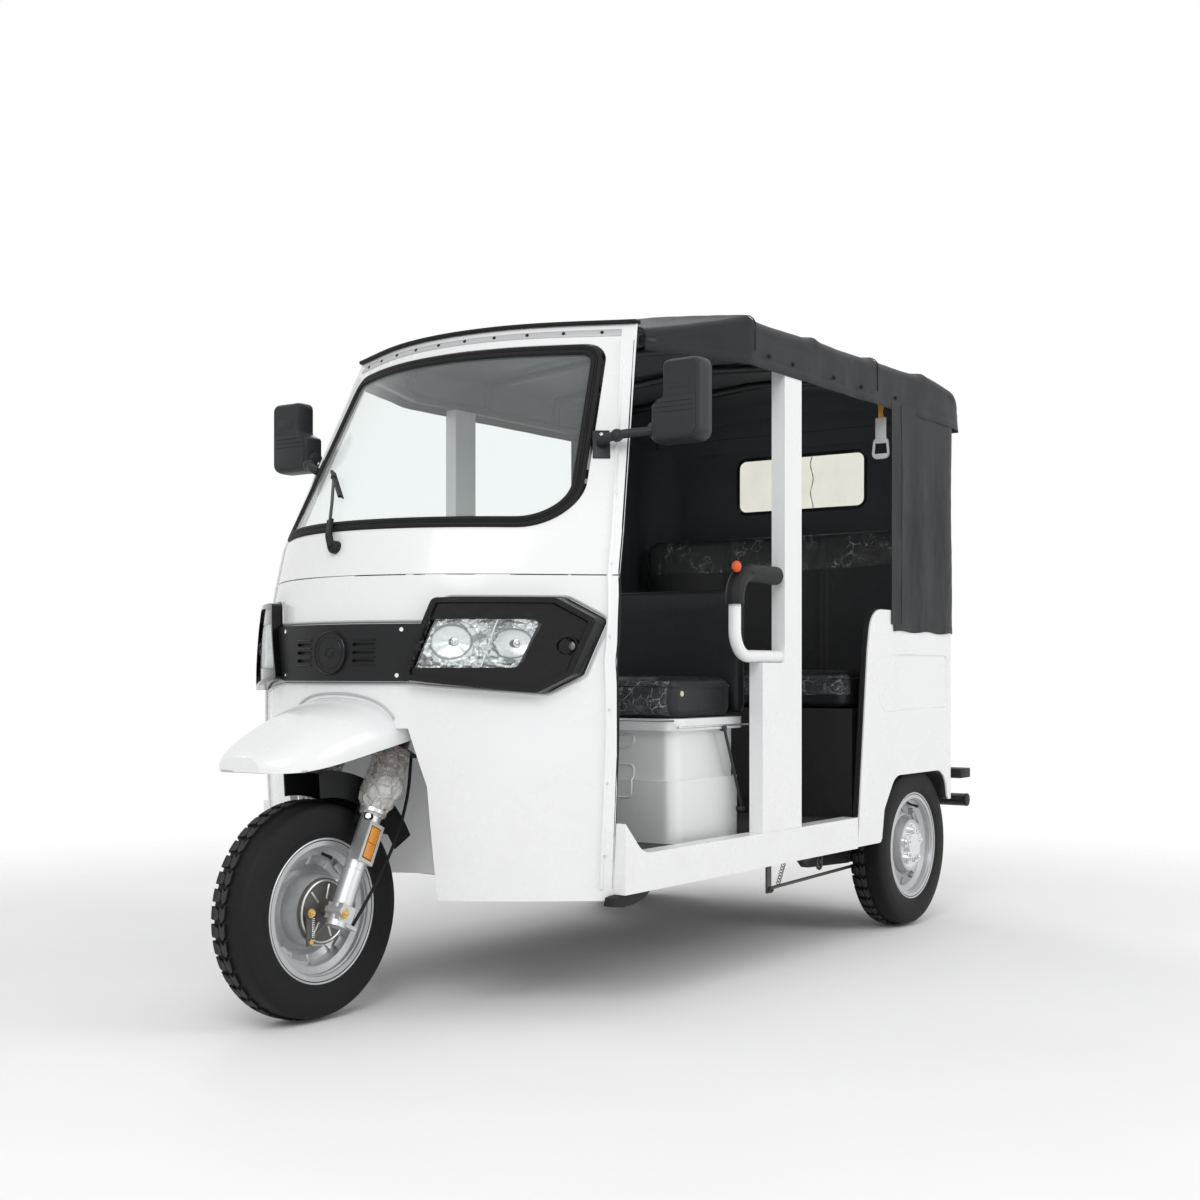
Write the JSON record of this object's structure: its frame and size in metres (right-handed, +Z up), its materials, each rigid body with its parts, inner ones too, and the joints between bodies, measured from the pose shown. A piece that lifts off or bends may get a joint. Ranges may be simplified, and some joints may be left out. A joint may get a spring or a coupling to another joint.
{
  "type": "auto rickshaw",
  "caption": "Passenger auto rickshaw with a steered front wheel, an open-sided cab, a driver's bench, a passenger seat and a fabric canopy over tube hoops.",
  "frame": {"origin": "centre of the bounding box on the ground", "axes": "+Z up, -Y towards the nose, +X towards the vehicle's left side"},
  "size_m": [1.527, 2.9269, 1.8656],
  "materials": {
    "amber_lens": "amber reflector",
    "black_plastic": "grained black plastic",
    "brake_steel": "plated steel",
    "canopy_fabric": "charcoal coated fabric",
    "cast_metal": "cast machinery",
    "dark_frame": "black chassis paint",
    "floor_mat": "black ribbed floor",
    "fork_alloy": "bright cast fork legs",
    "gloss_black": "gloss black moulding",
    "lamp_glass": "clear lens over a bright reflector",
    "red_lens": "red and amber lamp",
    "screen_glass": "clear laminated glass",
    "seal_rubber": "black rubber seal",
    "seat_vinyl": "black vinyl",
    "silver_box": "silver-grey paint",
    "silver_rim": "silver wheel paint",
    "spring_steel": "painted coil spring",
    "strap": "woven strap",
    "tyre_rubber": "black tyre rubber",
    "white_paint": "smooth gloss white paint",
    "window_film": "clear plastic film"
  },
  "bodies": {
    "body": {"armrests": "black_plastic", "back_curtain": "canopy_fabric", "brake_linkage": "brake_steel", "cab_frame": "white_paint", "cab_roof": "seal_rubber", "canopy_frame": "dark_frame", "canopy_roof": "canopy_fabric", "chassis": "dark_frame", "dashboard": "black_plastic", "drive_shaft": "dark_frame", "driver_backrest": "seat_vinyl", "driver_cushion": "seat_vinyl", "driver_seat_box": "silver_box", "engine": "cast_metal", "floor": "floor_mat", "front_fender": "white_paint", "front_panel": "white_paint", "grille_panel": "black_plastic", "hand_straps": "strap", "lamp_bezels": "gloss_black", "lamp_lenses": "lamp_glass", "leaf_springs": "dark_frame", "mirrors": "black_plastic", "passenger_backrest": "seat_vinyl", "passenger_cushion": "seat_vinyl", "passenger_seat_base": "dark_frame", "pillars": "white_paint", "rear_axle": "dark_frame", "rear_bumper": "dark_frame", "rear_panel": "white_paint", "rear_quarter_left": "white_paint", "rear_quarter_right": "white_paint", "rear_window": "window_film", "side_curtain_left": "canopy_fabric", "side_curtain_right": "canopy_fabric", "sills": "white_paint", "tail_lamps": "red_lens", "wheel_liners": "dark_frame", "wheel_well": "white_paint", "windscreen": "screen_glass", "windscreen_seal": "seal_rubber", "wiper": "black_plastic"},
    "steering": {"brake_cable": "seal_rubber", "fork_crown": "dark_frame", "fork_legs": "fork_alloy", "fork_reflectors": "amber_lens", "fork_springs": "spring_steel", "front_axle": "brake_steel", "handlebar": "dark_frame", "inner_mudguard": "black_plastic"},
    "front_wheel": {"front_wheel_rim": "silver_rim", "front_wheel_tyre": "tyre_rubber"},
    "rear_wheel_left": {"rear_wheel_left_rim": "silver_rim", "rear_wheel_left_tyre": "tyre_rubber"},
    "rear_wheel_right": {"rear_wheel_right_rim": "silver_rim", "rear_wheel_right_tyre": "tyre_rubber"}
  },
  "joints": [
    {"name": "steering_turn", "type": "hinge", "parent": "body", "child": "steering", "pos_m": [0, -1.17304, 0.25185], "axis": [0, 0.4384, 0.8988], "range_deg": [-40, 40]},
    {"name": "front_wheel_spin", "type": "hinge", "parent": "steering", "child": "front_wheel", "pos_m": [0, -1.2, 0.265], "axis": [1, 0, 0], "continuous": true},
    {"name": "rear_wheel_left_spin", "type": "hinge", "parent": "body", "child": "rear_wheel_left", "pos_m": [0.548, 0.965, 0.265], "axis": [1, 0, 0], "continuous": true},
    {"name": "rear_wheel_right_spin", "type": "hinge", "parent": "body", "child": "rear_wheel_right", "pos_m": [-0.548, 0.965, 0.265], "axis": [1, 0, 0], "continuous": true}
  ]
}
